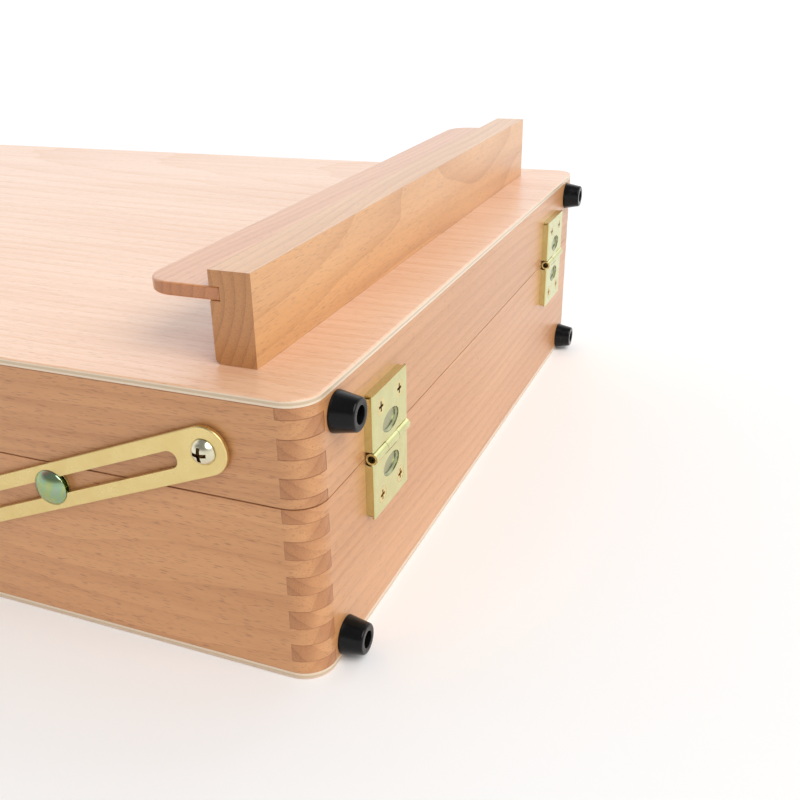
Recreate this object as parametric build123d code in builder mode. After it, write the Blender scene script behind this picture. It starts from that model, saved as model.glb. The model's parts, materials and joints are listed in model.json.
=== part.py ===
"""Table-top box easel: a beech case and hinged lid with stays, ledge, feet, hooks and handle."""
import os
from math import cos, radians, sin, sqrt

from build123d import *

# Overall size, in millimetres. X runs across the hinge side, Y from the hinge side to the
# handle side, Z up. The origin is the middle of the underside of the case.
box_width = 340.0
box_depth = 430.0
case_height = 63.1
lid_height = 35.4
seam_gap = 0.3

# Boards and panels
board_thickness = 10.5
panel_thickness = 2.5
panel_arris = 0.8
corner_radius = 10.5
finger_pitch = 6.4
smallest_finger = 2.0

# Dividers in the case
divider_thickness = 5.0
divider_drop = 15.0
divider_from_back = 150.0
divider_groove_depth = 2.5
divider_clearance = 0.1

# Lid hinges: pressed trays with a barrel on the seam
hinge_width = 30.0
hinge_from_side = 53.5
hinge_leaf_length = 22.2
hinge_sheet = 1.0
hinge_standoff = 3.2
hinge_fold_radius = 0.5
hinge_relief = 1.2
barrel_radius = 2.1
barrel_wall_gap = 0.2
barrel_leaf_gap = 0.4
knuckle_gap = 0.2
pin_radius = 1.3
pin_recess = 2.0
running_clearance = 0.05
hinge_screw_spacing = 16.0
hinge_screw_from_axis = 16.2
hinge_screw_head = 6.2
hinge_screw_shank = 3.0
hinge_screw_length = 11.0
dish_width = 14.0
dish_height = 7.5
dish_depth = 0.5
dish_from_axis = 8.2

# Screw heads: shares of the head for the cross slots
countersink_angle = 90.0
cross_width_share = 0.25
flat_cross_share = 0.58
flat_cross_depth_share = 0.16
domed_cross_share = 0.55
domed_cross_depth_share = 0.7

# Rubber feet on the hinge side
foot_base_radius = 6.8
foot_end_radius = 5.3
foot_length = 8.0
foot_hole_radius = 2.9
foot_hole_depth = 5.0
foot_edge_radius = 0.8
foot_from_fingers = 1.4
case_foot_height = 7.4
lid_foot_below_top = 9.9
foot_screw_head_radius = 2.6
foot_screw_head_height = 1.8
foot_screw_radius = 1.5
foot_screw_grip = 8.0

# Stays: slotted strips that hold the lid open
lid_open_angle = 75.0
stay_pivot_from_front = 34.3
stay_pivot_above_seam = 16.1
stay_bolt_from_front = 96.0
stay_bolt_below_seam = 8.0
stay_width = 16.5
stay_thickness = 1.5
stay_standoff = 1.0
stay_arris = 0.3
slot_width = 6.0
slot_from_pivot = 10.6
slot_end_gap = 0.3
stay_end_margin = 6.5
pivot_screw_radius = 2.0
pivot_screw_head_radius = 4.35
pivot_screw_head_height = 2.8
pivot_screw_grip = 8.5
pivot_washer_radius = 6.0
face_gap = 0.15

# Stay bolts and wing nuts
bolt_neck = 5.5
bolt_head_radius = 6.5
bolt_head_height = 3.0
bolt_washer_radius = 6.3
stud_radius = 2.5
stud_hole_clearance = 0.15
stud_past_nut = 3.0
stud_point = 0.5
nut_washer_radius = 6.5
nut_washer_thickness = 1.0
nut_radius = 4.8
nut_height = 5.0
nut_taper = 8.0
wing_span = 23.0
wing_height = 10.0
wing_thickness = 2.0
wing_tip_radius = 4.0

# Ledge on the lid
ledge_from_side = 18.3
ledge_from_front = 25.6
ledge_thickness = 14.5
ledge_height = 30.0
ledge_edge_radius = 2.2
lip_below_top = 5.2
lip_thickness = 4.4
lip_reach = 25.4
lip_corner_radius = 11.0
lip_edge_radius = 0.9
lip_groove_depth = 3.5
lip_clearance = 0.05
ledge_screw_count = 3
ledge_screw_spacing = 110.0
ledge_screw_head = 6.5
ledge_screw_shank = 3.5
ledge_screw_length = 16.0

# Swing hooks on the handle side
hook_from_middle = 110.0
hook_pivot_below_seam = 17.0
hook_pin_above_seam = 11.0
hook_thickness = 1.5
hook_wall_gap = 0.4
hook_head_gap = 0.3
hook_pivot_end_radius = 5.0
hook_pin_end_radius = 6.2
hook_notch_clearance = 0.5
hook_screw_radius = 2.0
hook_screw_head_radius = 4.0
hook_screw_head_height = 2.2
hook_screw_grip = 8.0

# Carrying handle
handle_bracket_from_middle = 57.0
handle_pivot_below_seam = 15.0
handle_pivot_standoff = 8.0
wire_radius = 2.2
wire_bend_radius = 2.5
wire_side_from_middle = 50.0
grip_length = 84.0
grip_radius = 6.5
grip_end_radius = 5.2
grip_floor_gap = 7.5
bracket_width = 8.0
bracket_corner_radius = 2.6
bracket_height = 30.0
bracket_plate = 1.5
bracket_ear_wall = 2.0
bracket_screw_spacing = 20.0
bracket_screw_head = 6.0
bracket_screw_shank = 3.0
bracket_screw_length = 9.0

# Worked out from the sizes above
half_width = box_width / 2
half_depth = box_depth / 2
lid_bottom = case_height + seam_gap
box_height = lid_bottom + lid_height
lid_boards_top = box_height - panel_thickness
seam_height = case_height + seam_gap / 2
hinge_axis_y = -half_depth - barrel_radius - barrel_wall_gap
hinge_x = half_width - hinge_from_side
leaf_start = barrel_radius + barrel_leaf_gap
stay_pivot_y = -half_depth + stay_pivot_from_front
stay_pivot_z = seam_height + stay_pivot_above_seam
stay_bolt_y = -half_depth + stay_bolt_from_front
stay_bolt_z = seam_height - stay_bolt_below_seam
stay_direction = (0, stay_bolt_y - stay_pivot_y, stay_bolt_z - stay_pivot_z)
stay_inner_face = half_width + stay_standoff
stay_outer_face = stay_inner_face + stay_thickness

front_face = Plane(origin=(0, -half_depth, 0), x_dir=(1, 0, 0), z_dir=(0, -1, 0))
back_face = Plane(origin=(0, half_depth, 0), x_dir=(-1, 0, 0), z_dir=(0, 1, 0))
right_face = Plane(origin=(half_width, 0, 0), x_dir=(0, 1, 0), z_dir=(1, 0, 0))


def open_bolt_distance():
    """Distance from stay pivot to bolt with the lid raised to its stop."""
    pivot_y, pivot_z = stay_pivot_y - hinge_axis_y, stay_pivot_z - seam_height
    angle = radians(lid_open_angle)
    open_y = hinge_axis_y + pivot_y * cos(angle) - pivot_z * sin(angle)
    open_z = seam_height + pivot_y * sin(angle) + pivot_z * cos(angle)
    return sqrt((stay_bolt_y - open_y) ** 2 + (stay_bolt_z - open_z) ** 2)


def save(piece, name):
    piece.part.label = name
    export_step(piece.part, f"parts/{name}.step")


def save_pair(piece, name):
    """Write the right-hand piece and its mirror image."""
    save(piece, f"{name}_right")
    with BuildPart() as twin:
        mirror(piece.part, about=Plane.YZ)
    save(twin, f"{name}_left")


def finger_bands(bottom, top):
    """Heights of the fingers, top to bottom, each with the boards that own it."""
    height = top - bottom
    full = int((height - 2 * smallest_finger) // finger_pitch)
    part_finger = (height - full * finger_pitch) / 2
    edges = [top, *(top - part_finger - i * finger_pitch for i in range(full + 1)), bottom]
    owners = ["end", "side"] * len(edges)
    return [(low, high, owner) for high, low, owner in zip(edges, edges[1:], owners)]


def board(owner, across, along, centre, bottom, top):
    """One board of a frame, cut back at its ends where the other boards' fingers pass."""
    corner = half_width - board_thickness / 2, half_depth - board_thickness / 2
    with BuildPart() as plain:
        with BuildSketch(Plane.XY.offset(bottom)):
            RectangleRounded(box_width, box_depth, corner_radius)
        extrude(amount=top - bottom)
        with Locations((*centre, (bottom + top) / 2)):
            Box(across, along, top - bottom, mode=Mode.INTERSECT)
        for low, high, band_owner in finger_bands(bottom, top):
            if band_owner != owner:
                with Locations((0, 0, (low + high) / 2)):
                    with GridLocations(2 * corner[0], 2 * corner[1], 2, 2):
                        Box(board_thickness, board_thickness, high - low, mode=Mode.SUBTRACT)
    return plain.part


def end_board(side, bottom, top):
    middle = (0, side * (half_depth - board_thickness / 2))
    return board("end", box_width, board_thickness, middle, bottom, top)


def side_board(side, bottom, top):
    middle = (side * (half_width - board_thickness / 2), 0)
    return board("side", board_thickness, box_depth, middle, bottom, top)


def drill(face, points, radius, depth):
    """Blind holes in the part being built."""
    with BuildSketch(face) as holes:
        with Locations(*points):
            Circle(radius)
    extrude(holes.sketch, amount=-depth, mode=Mode.SUBTRACT)


def cross_recess(size, depth):
    """Cross slot at the top of the piece being built."""
    slot = size * cross_width_share
    low = (Align.CENTER, Align.CENTER, Align.MAX)
    Box(size, slot, depth, align=low, mode=Mode.SUBTRACT)
    Box(slot, size, depth, align=low, mode=Mode.SUBTRACT)


def countersunk_screw(face, head, shank, length):
    """Flat-headed screw whose head is flush with the face."""
    low = (Align.CENTER, Align.CENTER, Align.MAX)
    with BuildPart(face) as screw:
        Cone(shank / 2, head / 2, (head - shank) / 2, align=low)
        Cylinder(shank / 2, length, align=low)
        cross_recess(head * flat_cross_share, head * flat_cross_depth_share)
    return screw.part


def domed_head(face, radius, height):
    """Cap of a sphere standing on the face."""
    sphere_radius = (radius ** 2 + height ** 2) / (2 * height)
    with BuildPart(face) as dome:
        with Locations((0, 0, height - sphere_radius)):
            Sphere(sphere_radius)
        Cylinder(radius, height, align=(Align.CENTER, Align.CENTER, Align.MIN), mode=Mode.INTERSECT)
    return dome.part


def domed_screw(face, head_radius, head_height, shank_radius, length):
    """Round-headed screw standing on the face."""
    with BuildPart(face) as screw:
        Cylinder(shank_radius, length, align=(Align.CENTER, Align.CENTER, Align.MAX))
        add(domed_head(Plane.XY, head_radius, head_height))
        with Locations((0, 0, head_height)):
            cross_size = 2 * head_radius * domed_cross_share
            cross_recess(cross_size, head_height * domed_cross_depth_share)
    return screw.part


def ring(face, outer, inner, thickness):
    """Washer standing on the face."""
    with BuildPart() as washer:
        with BuildSketch(face):
            Circle(outer)
            Circle(inner, mode=Mode.SUBTRACT)
        extrude(amount=thickness)
    return washer


os.makedirs("parts", exist_ok=True)

# Places of the fastenings, on each face
lower_hinge_screws = [
    (side * hinge_x + offset, seam_height - hinge_screw_from_axis)
    for side in (-1, 1)
    for offset in (-hinge_screw_spacing / 2, hinge_screw_spacing / 2)
]
upper_hinge_screws = [(x, seam_height + hinge_screw_from_axis) for x, _ in lower_hinge_screws]
foot_x = half_width - board_thickness - foot_from_fingers - foot_base_radius
case_feet = [(side * foot_x, case_foot_height) for side in (-1, 1)]
lid_feet = [(side * foot_x, box_height - lid_foot_below_top) for side in (-1, 1)]
hook_pivots = [(side * hook_from_middle, case_height - hook_pivot_below_seam) for side in (-1, 1)]
hook_pins = [(side * hook_from_middle, lid_bottom + hook_pin_above_seam) for side in (-1, 1)]
handle_pivot_z = case_height - handle_pivot_below_seam
bracket_screws = [
    (side * handle_bracket_from_middle, handle_pivot_z + offset)
    for side in (-1, 1)
    for offset in (-bracket_screw_spacing / 2, bracket_screw_spacing / 2)
]
hinge_screw_depth = hinge_screw_length - hinge_standoff
foot_screw_length = foot_length - foot_hole_depth + foot_screw_grip

# Case boards. The side boards carry the stay bolts, and grooves hold the long divider.
divider_y = half_depth - divider_from_back
divider_bottom = panel_thickness
divider_top = case_height - divider_drop
divider_height = divider_top - divider_bottom
divider_middle_z = (divider_top + divider_bottom) / 2
groove_width = divider_thickness + 2 * divider_clearance
inner_width = box_width - 2 * board_thickness
back_bay_depth = half_depth - board_thickness - divider_y - divider_thickness / 2

with BuildPart() as case_front:
    add(end_board(-1, panel_thickness, case_height))
    drill(front_face, lower_hinge_screws, hinge_screw_shank / 2, hinge_screw_depth)
    drill(front_face, case_feet, foot_screw_radius, foot_screw_grip)
save(case_front, "case_front_board")

with BuildPart() as case_back:
    add(end_board(1, panel_thickness, case_height))
    drill(back_face, hook_pivots, hook_screw_radius, hook_screw_grip)
    drill(back_face, bracket_screws, bracket_screw_shank / 2, bracket_screw_length - bracket_plate)
    with GridLocations(inner_width / 3, 0, 2, 1):
        with Locations((0, half_depth - board_thickness, divider_middle_z)):
            Box(groove_width, 2 * divider_groove_depth, divider_height, mode=Mode.SUBTRACT)
save(case_back, "case_back_board")

with BuildPart() as case_side:
    add(side_board(1, panel_thickness, case_height))
    stud_place = [(stay_bolt_y, stay_bolt_z)]
    drill(right_face, stud_place, stud_radius + stud_hole_clearance, board_thickness)
    with Locations((half_width - board_thickness, divider_y, divider_middle_z)):
        Box(2 * divider_groove_depth, groove_width, divider_height, mode=Mode.SUBTRACT)
save_pair(case_side, "case_side_board")

# Lid boards
with BuildPart() as lid_front:
    add(end_board(-1, lid_bottom, lid_boards_top))
    drill(front_face, upper_hinge_screws, hinge_screw_shank / 2, hinge_screw_depth)
    drill(front_face, lid_feet, foot_screw_radius, foot_screw_grip)
save(lid_front, "lid_front_board")

with BuildPart() as lid_back:
    add(end_board(1, lid_bottom, lid_boards_top))
    drill(back_face, hook_pins, hook_screw_radius, hook_screw_grip)
save(lid_back, "lid_back_board")

with BuildPart() as lid_side:
    add(side_board(1, lid_bottom, lid_boards_top))
    drill(right_face, [(stay_pivot_y, stay_pivot_z)], pivot_screw_radius, pivot_screw_grip)
save_pair(lid_side, "lid_side_board")

# Panels, with their outer edges rounded over
with BuildPart() as case_bottom:
    with BuildSketch():
        RectangleRounded(box_width, box_depth, corner_radius)
    extrude(amount=panel_thickness)
    fillet(case_bottom.faces().sort_by(Axis.Z)[0].edges(), panel_arris)
save(case_bottom, "case_bottom_panel")

ledge_y = -half_depth + ledge_from_front + ledge_thickness / 2
ledge_screw_places = [
    ((i - (ledge_screw_count - 1) / 2) * ledge_screw_spacing, ledge_y)
    for i in range(ledge_screw_count)
]
with BuildPart() as lid_top:
    with BuildSketch(Plane.XY.offset(lid_boards_top)):
        RectangleRounded(box_width, box_depth, corner_radius)
    extrude(amount=panel_thickness)
    fillet(lid_top.faces().sort_by(Axis.Z)[-1].edges(), panel_arris)
    for x, y in ledge_screw_places:
        with Locations(Plane(origin=(x, y, lid_boards_top), z_dir=(0, 0, -1))):
            shank, head = ledge_screw_shank / 2, ledge_screw_head / 2
            CounterSinkHole(shank, head, panel_thickness, countersink_angle)
save(lid_top, "lid_top_panel")

# Dividers: one across the case, two from it to the back board
with BuildPart() as long_divider:
    with Locations((0, divider_y, divider_middle_z)):
        long_length = inner_width + 2 * (divider_groove_depth - divider_clearance)
        Box(long_length, divider_thickness, divider_height)
        with GridLocations(inner_width / 3, 0, 2, 1):
            with Locations((0, divider_thickness / 2, 0)):
                Box(groove_width, divider_groove_depth, divider_height, mode=Mode.SUBTRACT)
save(long_divider, "divider_long")

with BuildPart() as short_divider:
    halving_depth = divider_groove_depth / 2
    short_length = back_bay_depth + halving_depth + divider_groove_depth - 2 * divider_clearance
    short_start = divider_y + divider_thickness / 2 - halving_depth + divider_clearance
    with Locations((inner_width / 6, short_start + short_length / 2, divider_middle_z)):
        Box(divider_thickness, short_length, divider_height)
save_pair(short_divider, "divider_short")


# Hinges. Knuckles in thirds: the middle one belongs to the upper leaf, the outer two to the lower.
knuckle_length = hinge_width / 3
leaf_front_y = -half_depth - hinge_standoff


def hinge_leaf(direction, knuckle_offsets):
    """Pressed tray with folded sides, its own knuckles, screw holes and a sunk oval dish."""
    leaf_height = hinge_leaf_length - leaf_start
    leaf_middle = seam_height + direction * (leaf_start + leaf_height / 2)
    pocket_middle = leaf_middle - direction * hinge_sheet / 2
    pocket_depth = hinge_standoff - hinge_sheet
    pocket_y = -half_depth - pocket_depth / 2
    leaf_end = seam_height + direction * hinge_leaf_length
    screw_z = seam_height + direction * hinge_screw_from_axis
    with BuildPart() as leaf:
        with Locations((hinge_x, -half_depth - hinge_standoff / 2, leaf_middle)):
            Box(hinge_width, hinge_standoff, leaf_height)
        fillet(leaf.edges().filter_by(Axis.Z).group_by(Axis.Y)[0], hinge_fold_radius)
        with Locations((hinge_x, pocket_y, pocket_middle)):
            inner_width_of_leaf = hinge_width - 2 * hinge_sheet
            Box(inner_width_of_leaf, pocket_depth, leaf_height - hinge_sheet, mode=Mode.SUBTRACT)
        with Locations((hinge_x, pocket_y, leaf_end)):
            with GridLocations(hinge_width, 0, 2, 1):
                Box(2 * hinge_relief, pocket_depth, 2 * hinge_relief, mode=Mode.SUBTRACT)
        for offset in knuckle_offsets:
            length = knuckle_length - knuckle_gap
            with Locations((hinge_x + offset, hinge_axis_y, seam_height)):
                Cylinder(barrel_radius, length, rotation=(0, 90, 0))
            bridge_middle = seam_height + direction * leaf_start / 2
            with Locations((hinge_x + offset, leaf_front_y + hinge_sheet / 2, bridge_middle)):
                Box(length, hinge_sheet, leaf_start)
        with Locations((hinge_x, hinge_axis_y, seam_height)):
            bore = pin_radius + running_clearance
            Cylinder(bore, 2 * hinge_width, rotation=(0, 90, 0), mode=Mode.SUBTRACT)
        for offset in (-hinge_screw_spacing / 2, hinge_screw_spacing / 2):
            place = (hinge_x + offset, leaf_front_y, screw_z)
            with Locations(Plane(origin=place, x_dir=(1, 0, 0), z_dir=(0, -1, 0))):
                shank, head = hinge_screw_shank / 2, hinge_screw_head / 2
                CounterSinkHole(shank, head, hinge_standoff, countersink_angle)
        with BuildSketch(front_face.offset(hinge_standoff)):
            with Locations((hinge_x, seam_height + direction * dish_from_axis)):
                Ellipse(dish_width / 2, dish_height / 2)
        extrude(amount=-dish_depth, mode=Mode.SUBTRACT)
    return leaf


upper_leaf = hinge_leaf(1, [0])
save_pair(upper_leaf, "hinge_upper_leaf")
lower_leaf = hinge_leaf(-1, [-knuckle_length, knuckle_length])
save_pair(lower_leaf, "hinge_lower_leaf")

with BuildPart() as hinge_pin:
    with Locations((hinge_x, hinge_axis_y, seam_height)):
        Cylinder(pin_radius, hinge_width - 2 * pin_recess, rotation=(0, 90, 0))
save_pair(hinge_pin, "hinge_pin")


def hinge_screws(places):
    with BuildPart() as screws:
        for x, z in places:
            face = Plane(origin=(x, leaf_front_y, z), x_dir=(1, 0, 0), z_dir=(0, -1, 0))
            add(countersunk_screw(face, hinge_screw_head, hinge_screw_shank, hinge_screw_length))
    return screws


save(hinge_screws(upper_hinge_screws), "hinge_upper_screws")
save(hinge_screws(lower_hinge_screws), "hinge_lower_screws")


def rubber_foot(x, z):
    """Tapered foot on the hinge side with a deep hole for its screw."""
    face = Plane(origin=(x, -half_depth, z), x_dir=(1, 0, 0), z_dir=(0, -1, 0))
    up = (Align.CENTER, Align.CENTER, Align.MIN)
    with BuildPart(face) as foot:
        Cone(foot_base_radius, foot_end_radius, foot_length, align=up)
        fillet(foot.edges().sort_by(Axis.Y)[0], foot_edge_radius)
        with Locations((0, 0, foot_length)):
            CounterBoreHole(foot_screw_radius, foot_hole_radius, foot_hole_depth)
    return foot


def foot_screws(places):
    head_y = -half_depth - foot_length + foot_hole_depth
    with BuildPart() as screws:
        for x, z in places:
            face = Plane(origin=(x, head_y, z), x_dir=(1, 0, 0), z_dir=(0, -1, 0))
            head = foot_screw_head_radius, foot_screw_head_height
            add(domed_screw(face, *head, foot_screw_radius, foot_screw_length))
    return screws


save_pair(rubber_foot(*case_feet[1]), "case_foot")
save_pair(rubber_foot(*lid_feet[1]), "lid_foot")
save(foot_screws(case_feet), "case_foot_screws")
save(foot_screws(lid_feet), "lid_foot_screws")

# Stays. The strip lies from its pivot on the lid to the bolt on the case.
bolt_corner = sqrt((slot_width / 2) ** 2 - (bolt_neck / 2) ** 2)
slot_end = open_bolt_distance() + bolt_neck / 2 - bolt_corner + slot_end_gap
slot_start = slot_from_pivot + slot_width / 2
stay_end = slot_end + slot_width / 2 + stay_end_margin - stay_width / 2
stay_plane = Plane(
    origin=(stay_inner_face, stay_pivot_y, stay_pivot_z), x_dir=stay_direction, z_dir=(1, 0, 0)
)

with BuildPart() as stay:
    with BuildSketch(stay_plane):
        with Locations((stay_end / 2, 0)):
            SlotCenterToCenter(stay_end, stay_width)
        with Locations(((slot_start + slot_end) / 2, 0)):
            SlotCenterToCenter(slot_end - slot_start, slot_width, mode=Mode.SUBTRACT)
        Circle(pivot_screw_radius + running_clearance, mode=Mode.SUBTRACT)
    extrude(amount=stay_thickness)
    chamfer(stay.faces().sort_by(Axis.X)[-1].outer_wire().edges(), stay_arris)
save_pair(stay, "stay")

pivot_face = Plane(
    origin=(half_width, stay_pivot_y, stay_pivot_z), x_dir=(0, 1, 0), z_dir=(1, 0, 0)
)
washer_bore = pivot_screw_radius + running_clearance
pivot_washer = ring(pivot_face, pivot_washer_radius, washer_bore, stay_standoff - face_gap)
save_pair(pivot_washer, "stay_pivot_washer")

with BuildPart() as pivot_screw:
    head_offset = stay_standoff + stay_thickness + face_gap
    pivot_length = head_offset + pivot_screw_grip
    pivot_head = pivot_screw_head_radius, pivot_screw_head_height
    add(domed_screw(pivot_face.offset(head_offset), *pivot_head, pivot_screw_radius, pivot_length))
save_pair(pivot_screw, "stay_pivot_screw")

# Stay bolts: the head and square neck ride in the slot, the threaded end stays in the case
bolt_face = Plane(
    origin=(half_width, stay_bolt_y, stay_bolt_z), x_dir=stay_direction, z_dir=(1, 0, 0)
)
with BuildPart() as stay_bolt:
    with BuildSketch(bolt_face.offset(face_gap)):
        Rectangle(bolt_neck, bolt_neck)
    extrude(amount=stay_standoff + stay_thickness)
    head_plane = bolt_face.offset(stay_standoff + stay_thickness + face_gap)
    add(domed_head(head_plane, bolt_head_radius, bolt_head_height))
save_pair(stay_bolt, "stay_bolt")

bolt_washer_bore = sqrt(2) * bolt_neck / 2 + running_clearance
bolt_washer = ring(
    bolt_face.offset(face_gap), bolt_washer_radius, bolt_washer_bore, stay_standoff - 2 * face_gap
)
save_pair(bolt_washer, "stay_bolt_washer")

inner_wall = half_width - board_thickness
nut_start = inner_wall - nut_washer_thickness
with BuildPart() as stud:
    stud_length = board_thickness + nut_washer_thickness + nut_height + stud_past_nut
    with BuildSketch(bolt_face):
        Circle(stud_radius)
    extrude(amount=-stud_length)
    chamfer(stud.faces().sort_by(Axis.X)[0].edges(), stud_point)
save_pair(stud, "stay_stud")

nut_plane = Plane(origin=(nut_start, stay_bolt_y, stay_bolt_z), x_dir=(0, 1, 0), z_dir=(-1, 0, 0))
washer_plane = nut_plane.offset(-nut_washer_thickness)
nut_washer = ring(
    washer_plane, nut_washer_radius, stud_radius + stud_hole_clearance, nut_washer_thickness
)
save_pair(nut_washer, "wing_nut_washer")

with BuildPart() as wing_nut:
    with BuildSketch(nut_plane.offset(face_gap)):
        Circle(nut_radius)
    extrude(amount=nut_height, taper=nut_taper)
    wing_plane = Plane(origin=nut_plane.origin, x_dir=(0, 1, 0), z_dir=(0, 0, 1))
    for side in (-1, 1):
        with BuildSketch(wing_plane):
            with Locations((side * (wing_span / 2 - wing_tip_radius), wing_height - wing_tip_radius)):
                Circle(wing_tip_radius)
            with Locations((side * nut_radius / 2, face_gap + nut_height / 2)):
                Rectangle(nut_radius, nut_height)
            make_hull()
        extrude(amount=wing_thickness / 2, both=True)
    with BuildSketch(nut_plane):
        Circle(stud_radius + running_clearance)
    extrude(amount=wing_height, mode=Mode.SUBTRACT)
save_pair(wing_nut, "wing_nut")

# Ledge: a bar across the lid with a lip let into its far face
ledge_length = box_width - 2 * ledge_from_side
ledge_far_y = ledge_y + ledge_thickness / 2
ledge_top = box_height + ledge_height
lip_top = ledge_top - lip_below_top
lip_middle = lip_top - lip_thickness / 2
with BuildPart() as ledge_bar:
    with Locations((0, ledge_y, box_height + ledge_height / 2)):
        Box(ledge_length, ledge_thickness, ledge_height)
    far_lower_edge = ledge_bar.edges().filter_by(Axis.X).group_by(Axis.Z)[0].sort_by(Axis.Y)[-1]
    fillet(far_lower_edge, ledge_edge_radius)
    with Locations((0, ledge_far_y, lip_middle)):
        groove_height = lip_thickness + 2 * lip_clearance
        Box(ledge_length, 2 * lip_groove_depth, groove_height, mode=Mode.SUBTRACT)
    with BuildSketch(Plane.XY.offset(box_height)):
        with Locations(*ledge_screw_places):
            Circle(ledge_screw_shank / 2)
    extrude(amount=ledge_screw_length - panel_thickness, mode=Mode.SUBTRACT)
save(ledge_bar, "ledge_bar")

with BuildPart() as ledge_lip:
    lip_start = ledge_far_y - lip_groove_depth + lip_clearance
    lip_end = ledge_far_y + lip_reach
    with BuildSketch(Plane.XY.offset(lip_top - lip_thickness)):
        with Locations((0, (lip_start + lip_end) / 2)):
            Rectangle(ledge_length, lip_end - lip_start)
        fillet(vertices().group_by(Axis.Y)[-1], lip_corner_radius)
    extrude(amount=lip_thickness)
    rim = ledge_lip.edges().filter_by(lambda edge: edge.center().Y > ledge_far_y + lip_corner_radius)
    fillet(rim.filter_by(Axis.Z, reverse=True), lip_edge_radius)
save(ledge_lip, "ledge_lip")

with BuildPart() as ledge_screws:
    for x, y in ledge_screw_places:
        face = Plane(origin=(x, y, lid_boards_top), z_dir=(0, 0, -1))
        add(countersunk_screw(face, ledge_screw_head, ledge_screw_shank, ledge_screw_length))
save(ledge_screws, "ledge_screws")

# Swing hooks, drawn hanging from their pivots with the notch on the outer side
hook_reach = hook_pin_above_seam + seam_gap + hook_pivot_below_seam
hook_pivot_x, hook_pivot_z = hook_pivots[1]
notch = hook_screw_radius + hook_notch_clearance
hook_plane = Plane(
    origin=(hook_pivot_x, half_depth + hook_wall_gap, hook_pivot_z), x_dir=(-1, 0, 0), z_dir=(0, 1, 0)
)
with BuildPart() as hook:
    with BuildSketch(hook_plane):
        Circle(hook_pivot_end_radius)
        with Locations((0, -hook_reach)):
            Circle(hook_pin_end_radius)
        make_hull()
        Circle(hook_screw_radius + running_clearance, mode=Mode.SUBTRACT)
    extrude(amount=hook_thickness)
    with BuildSketch(hook_plane):
        Circle(hook_reach + notch)
        Circle(hook_reach - notch, mode=Mode.SUBTRACT)
        with Locations((-hook_reach, -hook_reach)):
            Rectangle(2 * hook_reach, 2 * hook_reach, mode=Mode.INTERSECT)
        with Locations((0, -hook_reach)):
            Circle(notch)
    extrude(amount=hook_thickness, mode=Mode.SUBTRACT)
save_pair(hook, "hook")


def hook_screw(x, z):
    """Round-headed screw standing off the wood by the hook's thickness and gaps."""
    standoff = hook_wall_gap + hook_thickness + hook_head_gap
    face = Plane(origin=(x, half_depth + standoff, z), x_dir=(-1, 0, 0), z_dir=(0, 1, 0))
    length = standoff + hook_screw_grip
    head = hook_screw_head_radius, hook_screw_head_height
    with BuildPart() as screw:
        add(domed_screw(face, *head, hook_screw_radius, length))
    return screw


save_pair(hook_screw(*hook_pivots[1]), "hook_pivot_screw")
save_pair(hook_screw(*hook_pins[1]), "hook_pin_screw")

# Handle: bent wire in two brackets, with a turned grip
handle_y = half_depth + handle_pivot_standoff
grip_z = grip_floor_gap + grip_radius
wire_end = handle_bracket_from_middle + bracket_width / 2
with BuildPart() as handle_wire:
    with BuildLine(Plane(origin=(0, handle_y, 0), x_dir=(1, 0, 0), z_dir=(0, -1, 0))) as wire_path:
        FilletPolyline(
            (-wire_end, handle_pivot_z),
            (-wire_side_from_middle, handle_pivot_z),
            (-wire_side_from_middle, grip_z),
            (wire_side_from_middle, grip_z),
            (wire_side_from_middle, handle_pivot_z),
            (wire_end, handle_pivot_z),
            radius=wire_bend_radius,
        )
    with BuildSketch(Plane(origin=(-wire_end, handle_y, handle_pivot_z), z_dir=(1, 0, 0))):
        Circle(wire_radius)
    sweep(path=wire_path.line)
save(handle_wire, "handle_wire")

with BuildPart() as handle_grip:
    with BuildSketch(Plane(origin=(0, handle_y, grip_z), x_dir=(1, 0, 0), z_dir=(0, -1, 0))):
        with BuildLine():
            Polyline(
                (-grip_length / 2, grip_end_radius),
                (-grip_length / 2, 0),
                (grip_length / 2, 0),
                (grip_length / 2, grip_end_radius),
            )
            ThreePointArc(
                (grip_length / 2, grip_end_radius),
                (0, grip_radius),
                (-grip_length / 2, grip_end_radius),
            )
        make_face()
    revolve(axis=Axis((0, handle_y, grip_z), (1, 0, 0)))
    with Locations((0, handle_y, grip_z)):
        Cylinder(wire_radius + running_clearance, grip_length, rotation=(0, 90, 0), mode=Mode.SUBTRACT)
save(handle_grip, "handle_grip")

with BuildPart() as bracket:
    ear_radius = wire_radius + running_clearance + bracket_ear_wall
    with Locations((handle_bracket_from_middle, half_depth + bracket_plate / 2, handle_pivot_z)):
        Box(bracket_width, bracket_plate, bracket_height)
    fillet(bracket.edges().filter_by(Axis.Y), bracket_corner_radius)
    with Locations((handle_bracket_from_middle, half_depth + handle_pivot_standoff / 2, handle_pivot_z)):
        Box(bracket_width, handle_pivot_standoff, 2 * ear_radius)
    with Locations((handle_bracket_from_middle, handle_y, handle_pivot_z)):
        Cylinder(ear_radius, bracket_width, rotation=(0, 90, 0))
        bracket_bore = wire_radius + running_clearance
        Cylinder(bracket_bore, bracket_width, rotation=(0, 90, 0), mode=Mode.SUBTRACT)
    for x, z in bracket_screws[2:]:
        place = (x, half_depth + bracket_plate, z)
        with Locations(Plane(origin=place, x_dir=(-1, 0, 0), z_dir=(0, 1, 0))):
            shank, head = bracket_screw_shank / 2, bracket_screw_head / 2
            CounterSinkHole(shank, head, bracket_plate, countersink_angle)
save_pair(bracket, "handle_bracket")

with BuildPart() as bracket_screw_set:
    for x, z in bracket_screws:
        face = Plane(origin=(x, half_depth + bracket_plate, z), x_dir=(-1, 0, 0), z_dir=(0, 1, 0))
        add(countersunk_screw(face, bracket_screw_head, bracket_screw_shank, bracket_screw_length))
save(bracket_screw_set, "handle_bracket_screws")
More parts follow.
